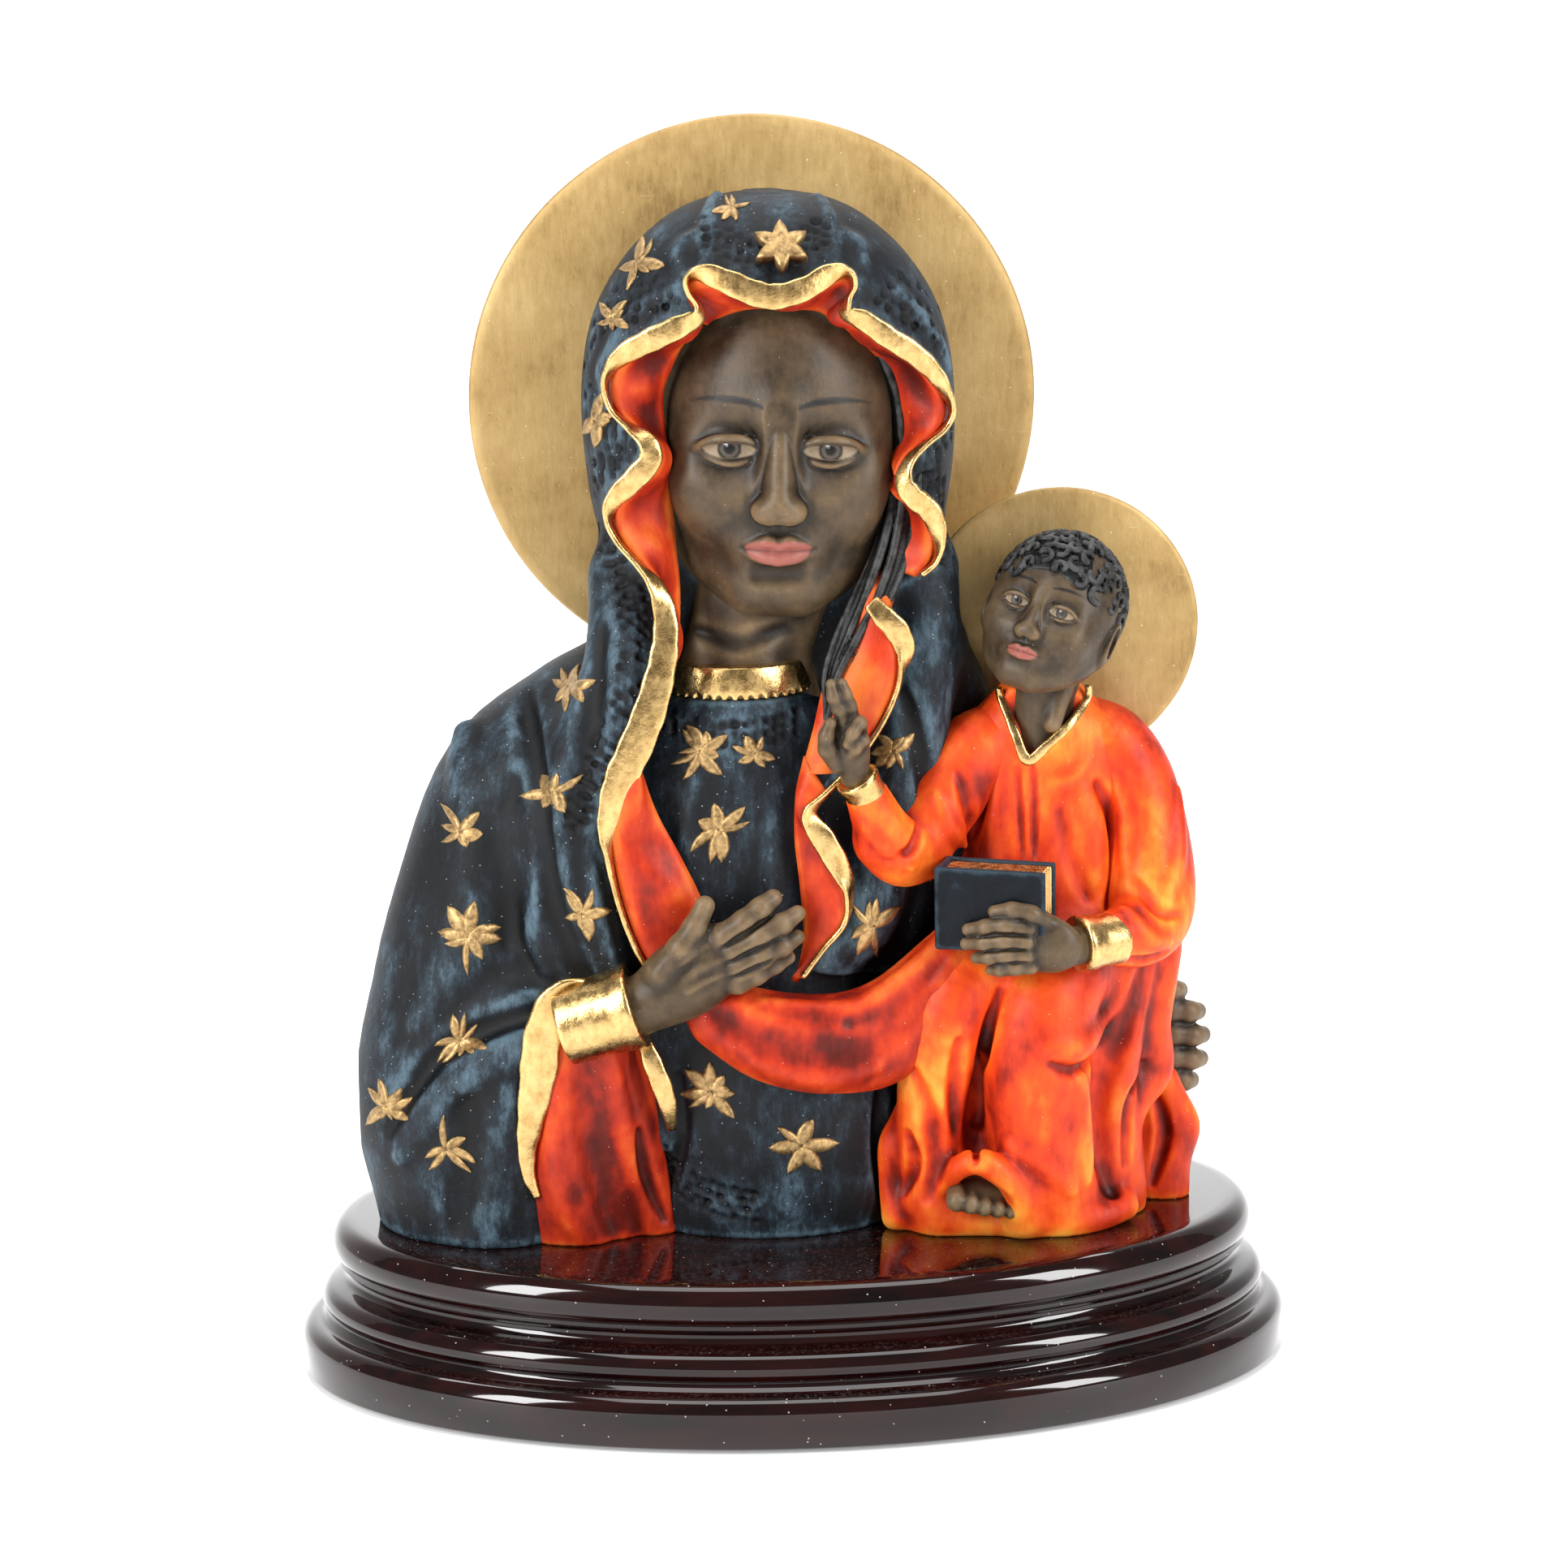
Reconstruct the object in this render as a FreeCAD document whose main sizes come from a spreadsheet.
import FreeCAD, Part

import math
import os

import Sketcher

from FreeCAD import Placement, Rotation, Vector

# A bust of a veiled mother with a seated child, cast in resin, with two gilt halo discs, screwed to an
# oval lacquered plinth. Millimetres. The origin is the centre of the plinth's felt underside, +Z is up,
# the figures look towards -Y, and +X is on the viewer's right.

UP = Vector(0, 0, 1)

# Driving dimensions. Each is a cell of the sheet, and the pieces are bound to the cells.
SIZES = {
    "felt_thickness": 1.0,
    "felt_margin": 3.0,
    "plinth_length": 240.0,
    "plinth_depth": 148.0,
    "foot_height": 13.0,
    "foot_round": 5.0,
    "bead_inset": 5.2,
    "bead_height": 8.0,
    "bead_round": 3.4,
    "neck_inset": 11.0,
    "neck_height": 5.0,
    "slab_inset": 8.0,
    "slab_height": 11.0,
    "slab_round": 4.6,
    "screw_shank": 4.0,
    "screw_head": 8.0,
    "screw_length": 46.0,
    "screw_head_height": 3.0,
    "counterbore": 10.0,
    "counterbore_depth": 14.0,
    "bust_width": 142.0,
    "bust_depth": 68.0,
    "head_width": 53.0,
    "neck_width": 32.0,
    "hem_radius": 4.4,
    "swag_radius": 9.0,
    "hand_length": 26.0,
    "cuff_radius": 9.5,
    "sleeve_radius": 16.0,
    "child_width": 58.0,
    "child_depth": 41.0,
    "child_head_width": 33.0,
    "child_arm_radius": 9.0,
    "book_width": 29.0,
    "book_height": 20.0,
    "book_thickness": 8.0,
    "cover_thickness": 1.2,
    "halo_radius": 68.5,
    "halo_thickness": 2.0,
    "child_halo_radius": 34.0,
    "child_halo_thickness": 1.6,
    "pin_radius": 1.5,
    "star_radius": 7.0,
    "star_thickness": 1.6,
}

doc = FreeCAD.newDocument("madonna_statue")
sheet = doc.addObject("Spreadsheet::Sheet", "sizes")
for row, (alias, value) in enumerate(SIZES.items(), start=1):
    sheet.set(f"A{row}", alias)
    sheet.set(f"B{row}", str(value))
    sheet.setAlias(f"B{row}", alias)
doc.recompute()

PLINTH_TOP = (
    SIZES["felt_thickness"]
    + SIZES["foot_height"]
    + SIZES["bead_height"]
    + SIZES["neck_height"]
    + SIZES["slab_height"]
)
SCREW_X = (-64.0, -4.0, 48.0)
HALO_CHAMFER = 0.5
STAR_WAIST = 0.55
PALM_ROUND = 0.6
WRIST = 0.6
FINGERTIP = 1.05
TIP_REACH = 0.7
TIP_TAPER = 0.55
LONG_CHAIN = 8
LEVEL = 1e-4
GRAZING = 5.0
HALO_FRONT = 27.0
HALO_CENTRE = Vector(-4.8, HALO_FRONT, 231.0)
CHILD_HALO_FRONT = 2.0
CHILD_HALO_CENTRE = Vector(66.0, CHILD_HALO_FRONT, 178.3)
HEAD_CENTRE = Vector(0, -5, 227)
CHILD_HEAD_CENTRE = Vector(63.5, -18, 186)


# Building blocks ---------------------------------------------------------------------------------


def bind(piece, prop, value, alias):
    """Set a size of a piece, and tie it to a cell of the sheet in its nominal proportion to it."""
    piece.setExpression(prop, f"sizes.{alias} * {value / SIZES[alias]:.5f}")


def fuse(name, parts):
    fused = doc.addObject("Part::MultiFuse", name)
    fused.Shapes = parts
    return fused


def cut(name, base, tool):
    trimmed = doc.addObject("Part::Cut", name)
    trimmed.Base = base
    trimmed.Tool = tool
    return trimmed


def ellipsoid(name, centre, half_x, half_y, half_z, alias, turn=None):
    """An ellipsoid by its three half sizes, all tied to one cell."""
    ball = doc.addObject("Part::Ellipsoid", name)
    bind(ball, "Radius1", half_z, alias)
    bind(ball, "Radius2", half_x, alias)
    bind(ball, "Radius3", half_y, alias)
    ball.Angle1 = -90
    ball.Angle2 = 90
    ball.Placement = Placement(centre, turn or Rotation())
    return ball


def loft(name, rows, width_alias, depth_alias):
    """A solid through level ellipses. A row is height, centre x, centre y, half width, half depth."""
    rings = []
    for i, (z, x, y, half_x, half_y) in enumerate(rows):
        ring = doc.addObject("Part::Ellipse", f"{name}_ring_{i}")
        bind(ring, "MajorRadius", half_x, width_alias)
        bind(ring, "MinorRadius", half_y, depth_alias)
        ring.Placement = Placement(Vector(x, y, z), Rotation())
        rings.append(ring)
    solid = doc.addObject("Part::Loft", name)
    solid.Sections = rings
    solid.Solid = True
    return solid


def limb(name, points, radii, alias):
    """A tube through a chain of points, drawn in at both ends, for arms, fingers and rolled hems."""
    first, last = (points[0] - points[1]).normalize(), (points[-1] - points[-2]).normalize()
    stations = [points[0] + first * radii[0] * TIP_REACH, *points, points[-1] + last * radii[-1] * TIP_REACH]
    sizes = [radii[0] * TIP_TAPER, *radii, radii[-1] * TIP_TAPER]
    rings = []
    for i, (at, radius) in enumerate(zip(stations, sizes)):
        before, after = stations[max(i - 1, 0)], stations[min(i + 1, len(stations) - 1)]
        ring = doc.addObject("Part::Circle", f"{name}_ring_{i}")
        bind(ring, "Radius", radius, alias)
        ring.Placement = Placement(at, Rotation(UP, after - before))
        rings.append(ring)
    tube = doc.addObject("Part::Loft", name)
    tube.Sections = rings
    tube.Solid = True
    tube.Ruled = len(points) > LONG_CHAIN
    return tube


def cylinder(name, start, end, radius, alias):
    run = end - start
    rod = doc.addObject("Part::Cylinder", name)
    bind(rod, "Radius", radius, alias)
    rod.Height = run.Length
    rod.Placement = Placement(start, Rotation(UP, run))
    return rod


def origin_plane(body, role):
    return next(f for f in body.Origin.OriginFeatures if f.Role == role)


def sketch_on(body, name, role):
    sketch = body.newObject("Sketcher::SketchObject", name)
    sketch.AttachmentSupport = [(origin_plane(body, role), "")]
    sketch.MapMode = "FlatFace"
    return sketch


def pad(body, name, sketch, alias):
    feature = body.newObject("PartDesign::Pad", name)
    feature.Profile = sketch
    feature.setExpression("Length", f"sizes.{alias}")
    doc.recompute()
    return feature


def level_rims(shape, heights):
    """Numbers of a shape's level edges at the given heights."""
    found = []
    for i, edge in enumerate(shape.Edges, start=1):
        box = edge.BoundBox
        if box.ZLength < LEVEL and any(abs(box.ZMin - z) < LEVEL for z in heights):
            found.append(i)
    return found


# Plinth, felt and screws -------------------------------------------------------------------------


def make_tier(tier, bottom, inset, rounded_rims):
    """One oval tier of the plinth, with the rims at the given ends rounded over."""
    height = SIZES[f"{tier}_height"]
    oval = doc.addObject("Part::Ellipse", f"{tier}_oval")
    less = f" - sizes.{inset}" if inset else ""
    oval.setExpression("MajorRadius", f"sizes.plinth_length / 2{less}")
    oval.setExpression("MinorRadius", f"sizes.plinth_depth / 2{less}")
    oval.Placement = Placement(Vector(0, 0, bottom), Rotation())
    block = doc.addObject("Part::Extrusion", f"{tier}_block")
    block.Base = oval
    block.DirMode = "Custom"
    block.Dir = UP
    block.Solid = True
    block.setExpression("LengthFwd", f"sizes.{tier}_height")
    if not rounded_rims:
        return block
    doc.recompute()
    radius = SIZES[f"{tier}_round"]
    heights = [bottom + end * height for end in rounded_rims]
    tier_solid = doc.addObject("Part::Fillet", f"{tier}_tier")
    tier_solid.Base = block
    tier_solid.Edges = [(i, radius, radius) for i in level_rims(block.Shape, heights)]
    return tier_solid


def make_plinth():
    """Routed oval in four tiers: foot, bead, neck and slab, with counterbored screw holes."""
    tiers = []
    bottom = SIZES["felt_thickness"]
    for tier, inset, rounded_rims in (
        ("foot", None, [1]),
        ("bead", "bead_inset", [0, 1]),
        ("neck", "neck_inset", []),
        ("slab", "slab_inset", [0, 1]),
    ):
        tiers.append(make_tier(tier, bottom, inset, rounded_rims))
        bottom += SIZES[f"{tier}_height"]
    holes = []
    for i, x in enumerate(SCREW_X):
        low = Vector(x, 0, 0)
        seat = low + UP * (SIZES["felt_thickness"] + SIZES["counterbore_depth"])
        through = Vector(x, 0, PLINTH_TOP + 1)
        holes.append(cylinder(f"counterbore_{i}", low, seat, SIZES["counterbore"] / 2, "counterbore"))
        holes.append(cylinder(f"clearance_{i}", low, through, SIZES["screw_shank"] / 2, "screw_shank"))
    return cut("plinth", fuse("plinth_tiers", tiers), fuse("screw_holes", holes))


def make_felt():
    """A thin oval felt sheet under the plinth, set in a little from its edge."""
    body = doc.addObject("PartDesign::Body", "felt_underlay")
    sketch = sketch_on(body, "felt_oval", "XY_Plane")
    oval = sketch.addGeometry(Part.Ellipse(Vector(100, 0, 0), Vector(0, 60, 0), Vector(0, 0, 0)), False)
    sketch.exposeInternalGeometry(oval)
    sketch.addConstraint(Sketcher.Constraint("Coincident", oval, 3, -1, 1))
    sketch.addConstraint(Sketcher.Constraint("Horizontal", oval + 1))
    for line, label in ((oval + 1, "length"), (oval + 2, "depth")):
        index = sketch.addConstraint(Sketcher.Constraint("Distance", line, 120.0))
        sketch.renameConstraint(index, label)
        sketch.setExpression(f"Constraints.{label}", f"sizes.plinth_{label} - 2 * sizes.felt_margin")
    pad(body, "felt_sheet", sketch, "felt_thickness")
    return body


def make_screws():
    """Pan-head screws driven up through the plinth into the castings."""
    seat = SIZES["felt_thickness"] + SIZES["counterbore_depth"]
    parts = []
    for i, x in enumerate(SCREW_X):
        head_low = Vector(x, 0, seat - SIZES["screw_head_height"])
        tip = Vector(x, 0, seat + SIZES["screw_length"])
        head = cylinder(f"screw_head_{i}", head_low, Vector(x, 0, seat), SIZES["screw_head"] / 2, "screw_head")
        shank = cylinder(f"screw_shank_{i}", head_low, tip, SIZES["screw_shank"] / 2, "screw_shank")
        parts += [head, shank]
    return fuse("fixing_screws", parts)


# Halos and their pins ----------------------------------------------------------------------------


def make_halo(name, centre, front, alias):
    """A flat round disc facing front, its front rim eased with a small chamfer."""
    body = doc.addObject("PartDesign::Body", name)
    sketch = sketch_on(body, f"{name}_ring", "XZ_Plane")
    ring = sketch.addGeometry(Part.Circle(Vector(0, 0, 0), UP, SIZES[f"{alias}_radius"]), False)
    sketch.addConstraint(Sketcher.Constraint("Coincident", ring, 3, -1, 1))
    index = sketch.addConstraint(Sketcher.Constraint("Radius", ring, SIZES[f"{alias}_radius"]))
    sketch.renameConstraint(index, "radius")
    sketch.setExpression("Constraints.radius", f"sizes.{alias}_radius")
    disc = pad(body, f"{name}_disc", sketch, f"{alias}_thickness")
    eased = body.newObject("PartDesign::Chamfer", f"{name}_edge")
    eased.Base = (disc, [f"Edge{i}" for i, e in enumerate(disc.Shape.Edges, start=1) if e.Closed])
    eased.Size = HALO_CHAMFER
    back = front + SIZES[f"{alias}_thickness"]
    body.Placement = Placement(Vector(centre.x, back, centre.z), Rotation())
    return body


def make_halo_pins():
    """Metal dowels: two hold the large disc to the veil, one the small disc to the child's head."""
    pins = []
    for i, (foot, tip) in enumerate(
        (
            (Vector(-4, 14, 246), Vector(-4, HALO_FRONT + SIZES["halo_thickness"], 246)),
            (Vector(-4, 14, 216), Vector(-4, HALO_FRONT + SIZES["halo_thickness"], 216)),
            (Vector(64, -8, 185), Vector(64, CHILD_HALO_FRONT + SIZES["child_halo_thickness"], 185)),
        )
    ):
        pins.append(cylinder(f"halo_pin_{i}", foot, tip, SIZES["pin_radius"], "pin_radius"))
    return fuse("halo_pins", pins)


def make_star():
    """A raised six-pointed star on the brow of the veil, leaning back with it."""
    outline = []
    for i in range(12):
        reach = SIZES["star_radius"] * (1 if i % 2 == 0 else STAR_WAIST)
        turn = math.radians(90 + 30 * i)
        outline.append(Vector(reach * math.cos(turn), reach * math.sin(turn), 0))
    face = Part.Face(Part.makePolygon(outline + outline[:1]))
    star = doc.addObject("Part::Feature", "forehead_star")
    star.Shape = face.extrude(UP * SIZES["star_thickness"])
    star.Placement = Placement(Vector(1, -23.5, 273.5), Rotation(Vector(1, 0, 0), 58))
    return star


# The mother --------------------------------------------------------------------------------------


def make_mantle():
    """The main casting: the veil's dome and the mantle down to the plinth, open at face and breast."""
    body = loft(
        "mantle_body",
        [
            (PLINTH_TOP, -29, 1, 69, 30),
            (60, -29, 1, 71, 32),
            (90, -26, 1, 68, 34),
            (120, -24, 1, 64, 34),
            (145, -22, 1, 60, 31),
            (160, -20, 0, 54, 28),
            (170, -17, -1, 45, 26),
            (180, -9, -2, 37, 25),
            (195, -3.5, -2, 40, 27),
            (215, -2.5, -2, 43, 29),
            (237, -2.6, -2, 43.8, 29),
            (255, -2.7, -2, 41, 28.5),
            (268, -2.8, -1, 34, 25),
            (277, -2.9, 0, 25, 19),
            (282, -2.9, 0, 16, 12),
            (284.4, -2.9, 0, 5, 4),
        ],
        "bust_width",
        "bust_depth",
    )
    face_opening = ellipsoid("face_opening", Vector(0, -24, 221), 30, 27, 43, "head_width")
    return cut("mantle", cut("mantle_front", body, face_opening), breast_opening("mantle_opening"))


def breast_opening(name):
    """The space in front of the mantle's flat seat for the tunic, between its two front edges."""
    outline = [(-50, 30), (24, 30), (24, 105), (11, 170), (-27, 178), (-43, 120), (-50, 90)]
    points = [Vector(x, -60, z) for x, z in outline]
    front = doc.addObject("Part::Feature", name)
    front.Shape = Part.Face(Part.makePolygon(points + points[:1])).extrude(Vector(0, 44, 0))
    return front


def make_tunic():
    """The breast of the tunic, a facing that fills the mantle's opening down to the plinth."""
    rows = [
        (PLINTH_TOP, -12, -6, 33, 24),
        (70, -12, -6, 34, 26),
        (95, -12, -6, 35, 27),
        (125, -13, -5, 33, 26),
        (150, -12, -5, 29, 23),
        (168, -11, -6, 22, 19),
    ]
    facing = doc.addObject("Part::Common", "tunic")
    facing.Base = loft("tunic_body", rows, "bust_width", "bust_depth")
    facing.Tool = breast_opening("tunic_space")
    return facing


def make_neck_collar():
    rows = [(163, -11.5, -8, 21.5, 19.5), (171, -11.5, -8.5, 20, 18.5), (177, -11.5, -9, 18.5, 17.5)]
    return loft("neck_collar", rows, "neck_width", "neck_width")


def make_head():
    skull = ellipsoid("skull", HEAD_CENTRE, 26.5, 27, 36, "head_width")
    neck = limb("neck", [Vector(-11, -7, 160), Vector(-6, -4, 205)], [15.5, 16], "neck_width")
    return fuse("madonna_head", [skull, neck])


def make_hair_lock():
    points = [
        Vector(26, -20, 238),
        Vector(27, -24, 215),
        Vector(21, -27, 197),
        Vector(12, -30, 184),
        Vector(6, -32, 170),
    ]
    return limb("hair_lock", points, [3, 3.5, 4, 4, 2.5], "hem_radius")


def make_veil_hem():
    """The gilt edge and lining of the veil, one rolled rim from breast to brow and down again."""
    points = [
        Vector(-32, -33, 100),
        Vector(-37, -34, 118),
        Vector(-39, -34, 138),
        Vector(-33, -34, 158),
        Vector(-29, -31, 178),
        Vector(-34, -29, 198),
        Vector(-32, -29, 212),
        Vector(-38, -27, 228),
        Vector(-33, -28, 245),
        Vector(-20, -30, 258),
        Vector(-2, -32, 263),
        Vector(16, -30, 258),
        Vector(31, -27, 245),
        Vector(38, -25, 228),
        Vector(32, -28, 212),
        Vector(36, -26, 196),
        Vector(30, -29, 182),
        Vector(20, -31, 168),
        Vector(9, -33, 148),
        Vector(9, -34, 126),
        Vector(2, -34, 104),
    ]
    radii = [5, 6, 4] + [4] * (len(points) - 6) + [5, 5, 4]
    return limb("veil_hem", points, radii, "hem_radius")


def make_swag():
    points = [
        Vector(-22, -33, 95),
        Vector(-6, -34, 88),
        Vector(12, -34, 88),
        Vector(26, -31, 96),
        Vector(36, -27, 107),
    ]
    return limb("mantle_swag", points, [6, 9.5, 10, 9, 6], "swag_radius")


def make_sleeve_lining():
    rows = [
        (PLINTH_TOP, -51, -20, 15, 11),
        (55, -51, -23, 16, 11),
        (75, -49, -26, 14, 9),
        (88, -46, -28, 10, 7),
    ]
    return loft("sleeve_lining", rows, "sleeve_radius", "sleeve_radius")


def rounded_block(name, centre, half_sizes, alias, turn):
    """A block with all its edges rounded, centred on a point."""
    block = doc.addObject("Part::Box", f"{name}_block")
    for prop, half in zip(("Length", "Width", "Height"), half_sizes):
        bind(block, prop, 2 * half, alias)
    block.Placement = Placement(centre, turn) * Placement(-Vector(*half_sizes), Rotation())
    rounded = doc.addObject("Part::Fillet", name)
    rounded.Base = block
    radius = PALM_ROUND * min(half_sizes)
    rounded.Edges = [(i, radius, radius) for i in range(1, 13)]
    return rounded


def make_hand(name, wrist, palm, palm_size, tips, finger_radius, turn):
    """A rounded palm on a wrist, with a round-ended finger from each knuckle to its tip."""
    parts = [rounded_block(f"{name}_palm", palm, palm_size, "hand_length", turn)]
    wrist_radius = WRIST * palm_size[2]
    parts.append(cylinder(f"{name}_wrist", wrist, palm, wrist_radius, "hand_length"))
    for i, (knuckle, tip) in enumerate(tips):
        end = doc.addObject("Part::Sphere", f"{name}_fingertip_{i}")
        bind(end, "Radius", finger_radius * FINGERTIP, "hand_length")
        end.Placement = Placement(tip, Rotation())
        parts += [cylinder(f"{name}_finger_{i}", knuckle, tip, finger_radius, "hand_length"), end]
    return fuse(name, parts)


def make_right_hand():
    """The mother's right hand, laid on her breast, fingers together and pointing up to the side."""
    tips = [
        (Vector(-15, -38, 117), Vector(-4.5, -37, 124)),
        (Vector(-13, -38.5, 113), Vector(-2.5, -37, 119.5)),
        (Vector(-13, -38, 109), Vector(-2.5, -36.5, 114.5)),
        (Vector(-15, -37.5, 105), Vector(-6, -36, 109)),
        (Vector(-27, -39, 113), Vector(-21, -38.5, 124)),
    ]
    return make_hand(
        "right_hand",
        Vector(-38, -36, 99),
        Vector(-24, -37, 108),
        (12.5, 4.5, 9),
        tips,
        2.4,
        Rotation(Vector(0, 1, 0), -32),
    )


def make_right_cuff():
    return cylinder("right_cuff", Vector(-55, -33, 94), Vector(-37, -36, 99), 9.5, "cuff_radius")


def make_left_sleeve():
    """The mother's left arm under the mantle, falling to the plinth behind the child."""
    rows = [
        (PLINTH_TOP, 50, 10, 30, 17),
        (60, 50, 10, 31, 18),
        (80, 52, 10, 30, 17),
        (95, 48, 8, 29, 17),
        (115, 40, 6, 28, 18),
        (140, 30, 4, 24, 18),
        (158, 22, 1, 16, 14),
    ]
    return loft("left_sleeve", rows, "sleeve_radius", "sleeve_radius")


def make_left_hand():
    """The mother's left hand, holding the child from behind, its fingers stacked."""
    tips = [(Vector(87, 5.5, z), Vector(98.5 - abs(z - 74) * 0.15, 3, z - 1.5)) for z in (86, 79.5, 73, 66.5)]
    return make_hand(
        "left_hand",
        Vector(78, 6, 82),
        Vector(85, 6, 77),
        (7, 5, 12),
        tips,
        2.9,
        Rotation(),
    )


# The child ---------------------------------------------------------------------------------------


def make_child_robe():
    skirt = [
        (PLINTH_TOP, 51, -11, 29, 20.5),
        (50, 50, -11, 28, 20.5),
        (75, 50, -13, 27.5, 20),
        (98, 54, -15, 25, 20),
        (110, 60, -14, 22, 15),
        (122, 66, -13, 23, 13),
        (140, 66, -13, 23.5, 12.5),
        (152, 65, -13, 22, 11),
        (160, 63, -13, 16, 9),
        (165, 61, -14, 8, 7),
    ]
    knees = [
        ellipsoid("left_knee", Vector(38, -27, 96), 12, 11, 14, "child_width"),
        ellipsoid("right_knee", Vector(58, -29, 96), 13, 12, 14, "child_width"),
    ]
    return fuse("child_robe", [loft("child_skirt", skirt, "child_width", "child_depth"), *knees])


def make_robe_tail():
    rows = [(PLINTH_TOP, 88, -5, 8, 7), (50, 90, -4, 7.5, 6), (66, 87, -1, 5, 4.5)]
    return loft("robe_tail", rows, "child_width", "child_depth")


def make_child_head():
    centre = CHILD_HEAD_CENTRE
    skull = ellipsoid("child_skull", centre, 16, 17, 19.5, "child_head_width")
    throat = [centre + Vector(-3, 2, -28), centre + Vector(0, 1, -10)]
    return fuse("child_head", [skull, limb("child_neck", throat, [7.5, 8], "child_head_width")])


def make_child_hair():
    """A cap of curls over the crown, back and one side of the head."""
    centre = CHILD_HEAD_CENTRE
    cap = ellipsoid("hair_cap", centre + Vector(1.5, 2, 2), 17.5, 17, 19.5, "child_head_width")
    face = ellipsoid("hairline", centre + Vector(-6, -12, -8), 17, 16, 19, "child_head_width")
    return cut("child_hair", cap, face)


def make_child_right_sleeve():
    points = [Vector(46, -16, 154), Vector(28, -30, 129), Vector(18, -35, 144)]
    return limb("child_right_sleeve", points, [8.5, 7.5, 5.5], "child_arm_radius")


def make_child_left_sleeve():
    points = [Vector(82, -15, 148), Vector(87, -22, 118), Vector(76, -34, 112)]
    return limb("child_left_sleeve", points, [9, 9.5, 7], "child_arm_radius")


def make_child_cuffs():
    cuffs = [
        cylinder("child_right_cuff", Vector(17.5, -35.5, 145), Vector(14.5, -36.5, 152), 5.6, "cuff_radius"),
        cylinder("child_left_cuff", Vector(75, -35, 112), Vector(66, -38, 111), 6.6, "cuff_radius"),
    ]
    return fuse("child_cuffs", cuffs)


def make_child_right_hand():
    """Raised in blessing: two fingers up, the others folded."""
    tips = [
        (Vector(11, -38, 164), Vector(9.5, -39, 174)),
        (Vector(14, -38, 165), Vector(13, -39, 175)),
        (Vector(10, -39, 160), Vector(9, -41, 162)),
        (Vector(14, -39.5, 160), Vector(12, -42, 161)),
    ]
    return make_hand(
        "child_right_hand",
        Vector(14.5, -36.5, 152),
        Vector(13, -37, 159),
        (4.5, 3.5, 6.5),
        tips,
        1.8,
        Rotation(),
    )


def make_child_left_hand():
    tips = [(Vector(56, -43, z), Vector(45, -43.4, z - 1)) for z in (117, 114, 111, 108)]
    return make_hand(
        "child_left_hand",
        Vector(66, -40, 111),
        Vector(60, -43.4, 112),
        (7.5, 3, 5.5),
        tips,
        1.7,
        Rotation(),
    )


def make_child_foot():
    toes = [(Vector(47 + 2.6 * i, -33, 46), Vector(46 + 2.6 * i, -37, 45 - 0.6 * i)) for i in range(4)]
    sole = Vector(51, -30, 46)
    return make_hand("child_foot", sole + Vector(3, 5, 1), sole, (7, 6, 3.2), toes, 1.6, Rotation())


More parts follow.
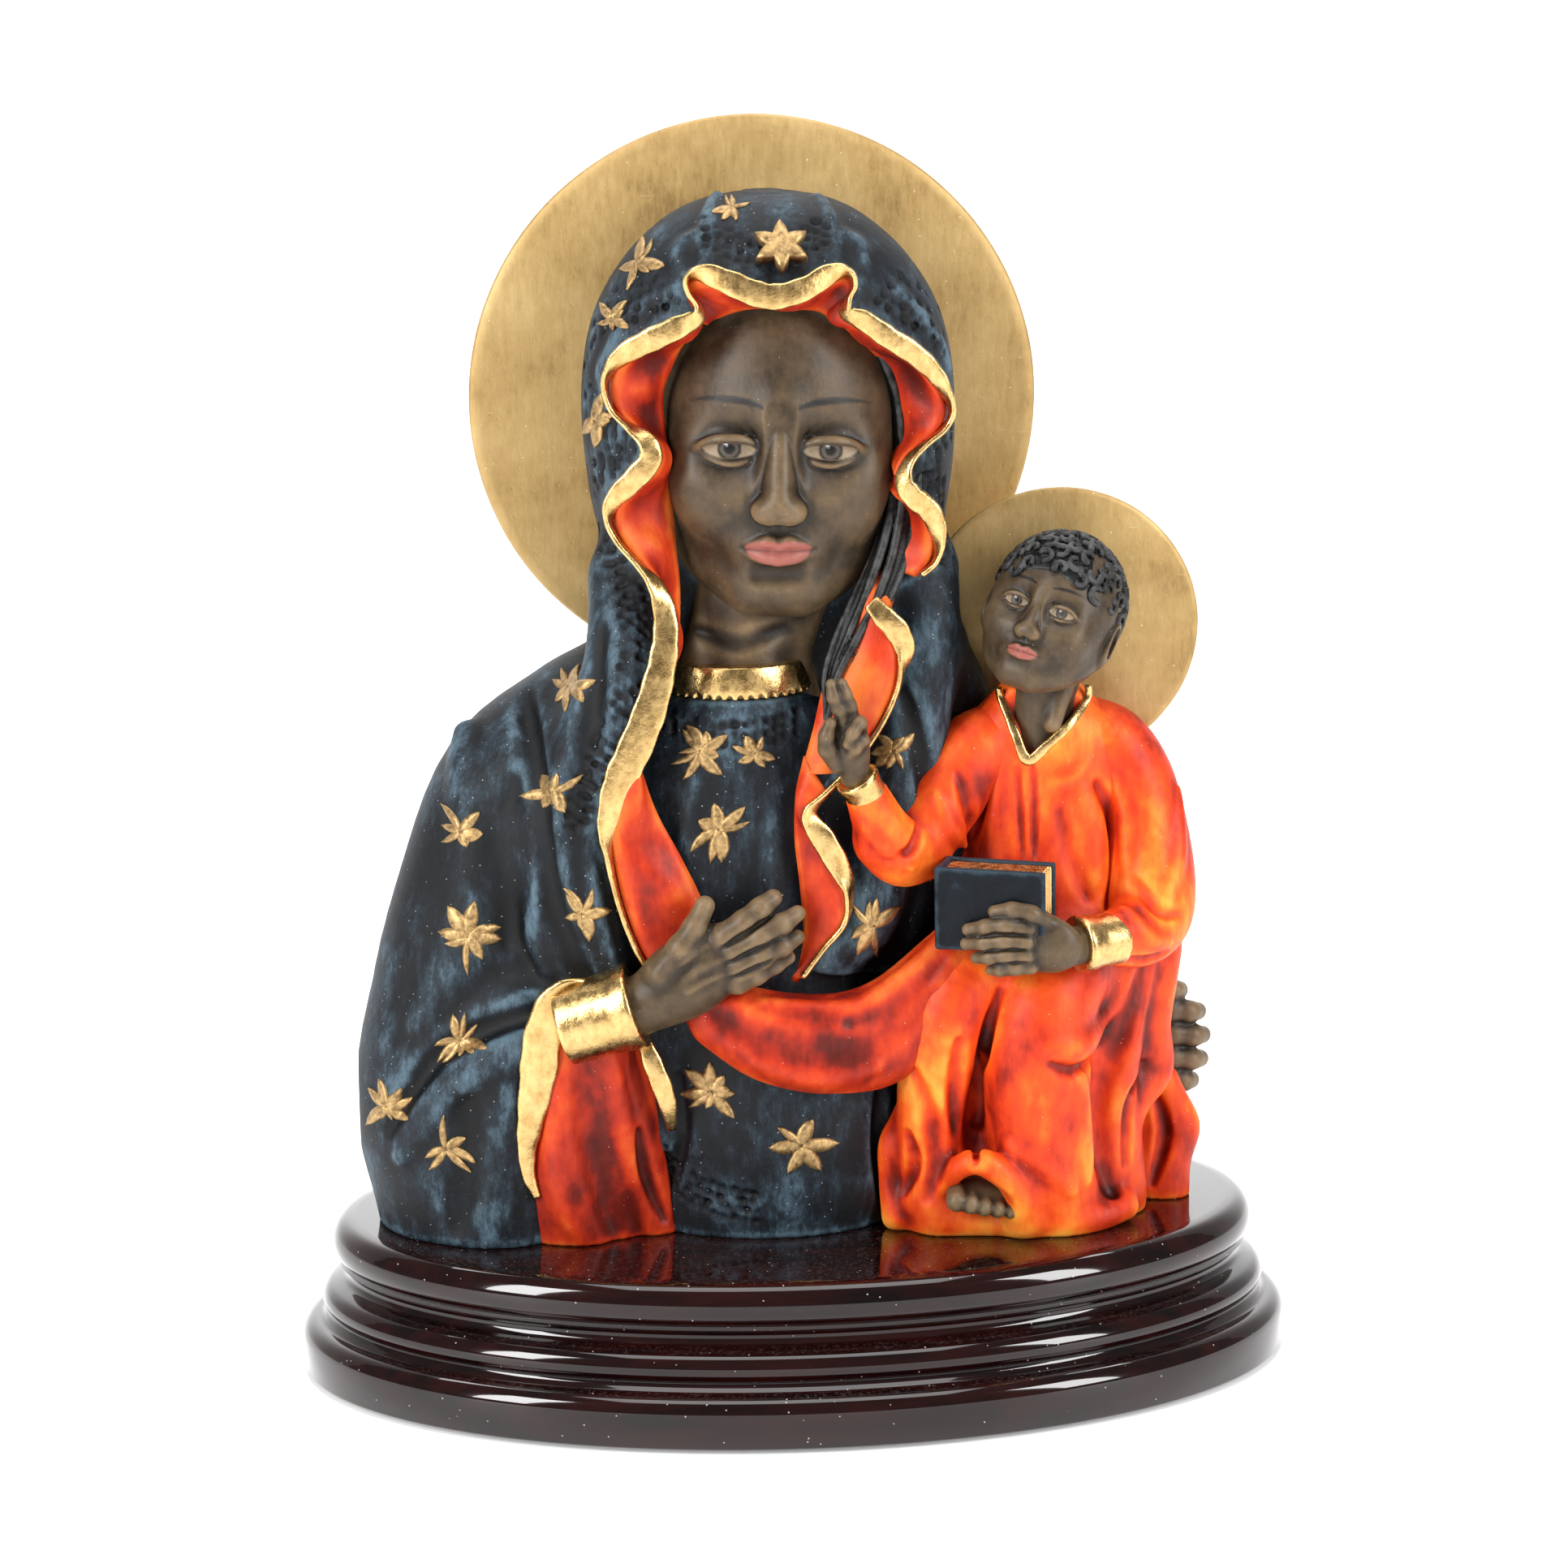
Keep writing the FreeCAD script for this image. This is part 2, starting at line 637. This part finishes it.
def make_book():
    """A closed book held upright: a wrapped cover and its block of pages."""
    width, height = SIZES["book_width"], SIZES["book_height"]
    thick, cover = SIZES["book_thickness"], SIZES["cover_thickness"]
    leaning = Placement(Vector(34, -42, 111), Rotation(Vector(0, 0, 1), 4))
    outside = doc.addObject("Part::Box", "book_outside")
    outside.setExpression("Length", "sizes.book_width")
    outside.setExpression("Width", "sizes.book_thickness")
    outside.setExpression("Height", "sizes.book_height")
    outside.Placement = leaning
    slot = doc.addObject("Part::Box", "book_slot")
    slot.setExpression("Length", "sizes.book_width")
    slot.setExpression("Width", "sizes.book_thickness - 2 * sizes.cover_thickness")
    slot.setExpression("Height", "sizes.book_height + 2")
    slot.Placement = leaning * Placement(Vector(cover, cover, -1), Rotation())
    pages = doc.addObject("Part::Box", "book_pages")
    pages.Placement = leaning * Placement(Vector(cover, cover, cover), Rotation())
    pages.setExpression("Length", "sizes.book_width - 2 * sizes.cover_thickness")
    pages.setExpression("Width", "sizes.book_thickness - 2 * sizes.cover_thickness")
    pages.setExpression("Height", "sizes.book_height - 2 * sizes.cover_thickness")
    return cut("book_cover", outside, slot), pages


# The assembly ------------------------------------------------------------------------------------


def fit_together(blanks):
    """Cut each blank by the earlier ones, so that solids share no more than a grazing contact, in mm3."""
    doc.recompute()
    nodes = {}
    for i, blank in enumerate(blanks):
        node = blank
        meets = [other for other in blanks[:i] if other.Shape.common(blank.Shape).Volume > GRAZING]
        for other in meets:
            node = cut(f"{blank.Name}_without_{other.Name}", node, other)
        if meets:
            blank.Label = f"{blank.Name}_blank"
            node.Label = blank.Name
        nodes[blank.Name] = node
    doc.recompute()
    return nodes


def main():
    book_cover, book_pages = make_book()
    blanks = [
        make_halo_pins(),
        make_screws(),
        make_felt(),
        make_plinth(),
        make_halo("large_halo", HALO_CENTRE, HALO_FRONT, "halo"),
        make_halo("child_halo", CHILD_HALO_CENTRE, CHILD_HALO_FRONT, "child_halo"),
        book_pages,
        book_cover,
        make_child_right_hand(),
        make_child_left_hand(),
        make_child_foot(),
        make_child_cuffs(),
        make_child_head(),
        make_child_hair(),
        make_child_right_sleeve(),
        make_child_left_sleeve(),
        make_right_hand(),
        make_right_cuff(),
        make_left_hand(),
        make_head(),
        make_hair_lock(),
        make_neck_collar(),
        make_child_robe(),
        make_robe_tail(),
        make_sleeve_lining(),
        make_swag(),
        make_veil_hem(),
        make_star(),
        make_left_sleeve(),
        make_tunic(),
        make_mantle(),
    ]
    nodes = fit_together(blanks)
    for thing in doc.Objects:
        if "Invalid" in thing.State or "Error" in thing.State:
            raise RuntimeError(f"{thing.Name} failed: {thing.State}")
    os.makedirs("parts", exist_ok=True)
    for name, node in nodes.items():
        shape = node.Shape
        if shape.isNull() or not shape.isValid() or not shape.Solids:
            raise RuntimeError(f"{name} has no valid solid")
        shape.exportStep(f"parts/{name}.step")
        print(f"{name}: {len(shape.Solids)} solid(s), {shape.Volume / 1000:.2f} cm3")


main()
